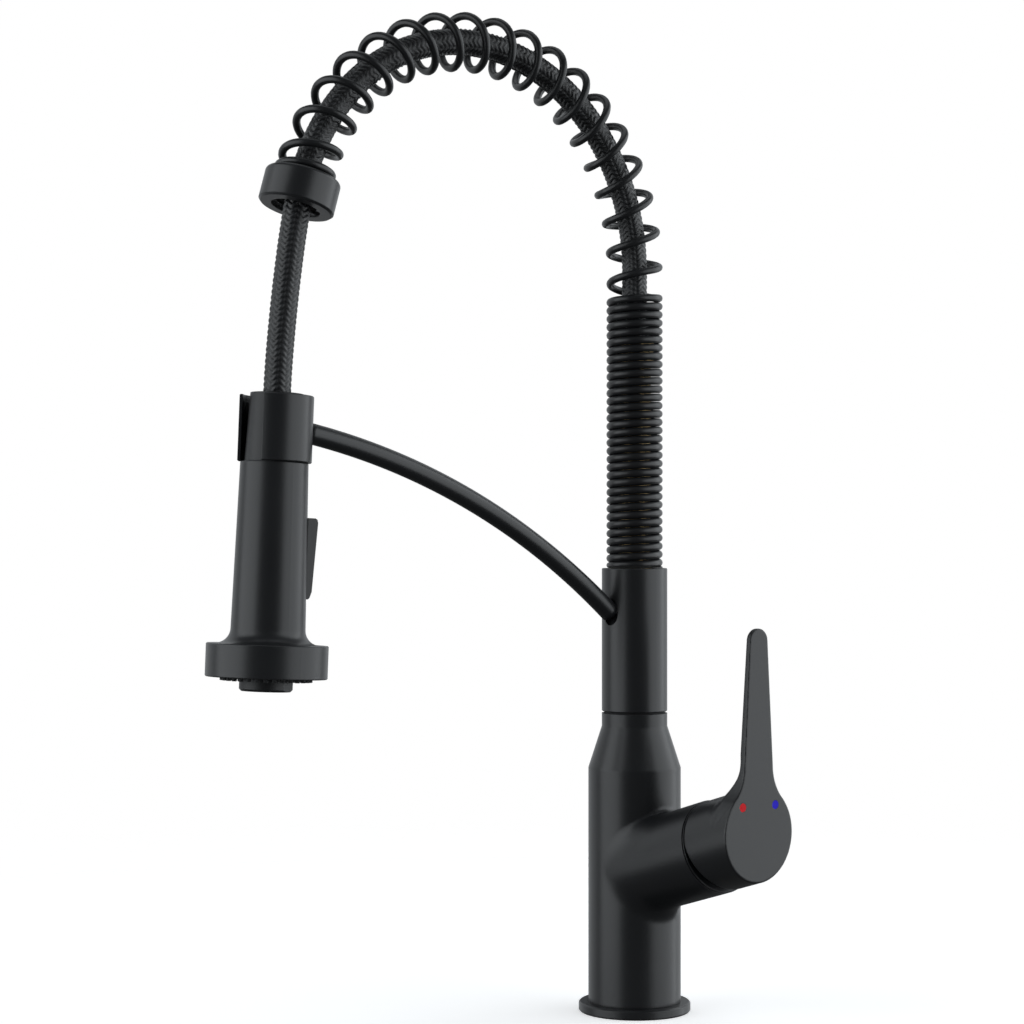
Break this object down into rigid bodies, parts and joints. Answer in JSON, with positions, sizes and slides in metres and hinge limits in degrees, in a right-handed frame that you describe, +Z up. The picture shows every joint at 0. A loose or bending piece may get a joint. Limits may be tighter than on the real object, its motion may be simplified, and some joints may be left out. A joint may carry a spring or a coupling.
{
  "type": "spring pull-down kitchen faucet",
  "caption": "Matte black single-hole faucet with a coil-spring arch, a support arm with a holder clip, a pull-down spray and a side lever.",
  "frame": {"origin": "centre of the base flange's underside, on the worktop", "axes": "+Z up along the column, spout towards -Y, handle stub towards +X"},
  "size_m": [0.121, 0.2848, 0.5589],
  "materials": {
    "black_coat": "matte black coating with a fine grain",
    "black_spring": "satin black coated spring wire",
    "black_plastic": "fine textured black moulding",
    "black_rubber": "matte black rubber",
    "red_seal": "red silicone",
    "grey_rubber": "dark silicone nubs",
    "hose_braid": "black nylon braid",
    "brass": "machined brass",
    "steel": "turned stainless steel",
    "ceramic": "ground alumina",
    "ivory_plastic": "acetal moulding",
    "hot_enamel": "red enamel dot",
    "cold_enamel": "blue enamel dot"
  },
  "bodies": {
    "base": {"base_flange": "black_coat", "base_seal": "black_rubber", "valve_body": "black_coat", "mounting_shank": "brass", "deck_gasket": "black_rubber", "clamp_washer": "steel", "mounting_nut": "brass", "clamp_screws": "steel", "cartridge_seals": "red_seal", "cartridge_base": "ivory_plastic", "cartridge_housing": "ivory_plastic", "fixed_disc": "ceramic", "retaining_nut": "brass", "bonnet_ring": "black_coat", "thrust_washer": "black_rubber", "swivel_post": "brass", "swivel_bushes": "ivory_plastic", "swivel_orings": "black_rubber", "retaining_clip": "steel"},
    "carrier": {"cartridge_rotor": "ivory_plastic", "stem_pin": "steel"},
    "mixing_disc": {"moving_disc": "ceramic", "disc_driver": "ivory_plastic"},
    "handle": {"lever_handle": "black_coat", "cartridge_stem": "steel", "grub_screw": "steel", "screw_plug": "black_coat", "hot_mark": "hot_enamel", "cold_mark": "cold_enamel"},
    "spout": {"spout_sleeve": "black_coat", "riser_pipe": "brass", "spring_seat": "ivory_plastic", "spring": "black_spring", "hose_coupling": "brass", "riser_ferrule": "steel", "hose": "hose_braid", "support_arm": "black_coat", "holder_clip": "black_coat", "holder_screw": "steel", "dock_magnet": "steel", "spring_collar": "black_coat", "collar_guide": "black_rubber", "collar_ring": "steel"},
    "hose_end": {"hose_nut": "brass", "spray_ferrule": "steel", "filter_washer": "black_rubber"},
    "spray": {"wand_neck": "black_plastic", "wand_shell": "black_coat", "wand_inlet": "brass", "check_valve": "ivory_plastic", "diverter_body": "ivory_plastic", "rocker_pin": "steel", "face_plate": "black_plastic", "spray_nozzles": "grey_rubber", "aerator_housing": "black_plastic", "aerator_insert": "black_plastic"},
    "rocker": {"spray_rocker": "black_plastic"},
    "spool": {"diverter_spool": "steel", "spool_seals": "black_rubber"}
  },
  "joints": [
    {"name": "spout_swivel", "type": "hinge", "parent": "base", "child": "spout", "pos_m": [0, 0, 0.1546], "axis": [0, 0, 1], "continuous": true},
    {"name": "handle_turn", "type": "hinge", "parent": "base", "child": "carrier", "pos_m": [0.04787, 0, 0.08685], "axis": [0.9573, 0, 0.289], "range_deg": [-45, 45]},
    {"name": "handle_lift", "type": "hinge", "parent": "carrier", "child": "handle", "pos_m": [0.04787, 0, 0.08685], "axis": [0, 1, 0], "range_deg": [0, 14]},
    {"name": "disc_slide", "type": "slide", "parent": "carrier", "child": "mixing_disc", "axis": [-0.289, 0, 0.9573], "range_m": [0, 0.0025]},
    {"name": "spray_pull", "type": "slide", "parent": "spout", "child": "hose_end", "axis": [0, -0.0454, -0.999], "range_m": [0, 0.06], "stiffness_N_per_m": 120, "springref_m": -0.05},
    {"name": "spray_turn", "type": "hinge", "parent": "hose_end", "child": "spray", "pos_m": [0, -0.22273, 0.28686], "axis": [0, 0.0454, 0.999], "continuous": true},
    {"name": "rocker_tilt", "type": "hinge", "parent": "spray", "child": "rocker", "pos_m": [0, -0.21241, 0.23634], "axis": [1, 0, 0], "range_deg": [0, 7]},
    {"name": "spool_slide", "type": "slide", "parent": "spray", "child": "spool", "axis": [0, -0.0454, -0.999], "range_m": [0, 0.0011]}
  ],
  "couplings": [
    {"joint": "disc_slide", "follows": "handle_lift", "m_per_rad": 0.0102},
    {"joint": "spool_slide", "follows": "rocker_tilt", "m_per_rad": 0.0087}
  ]
}
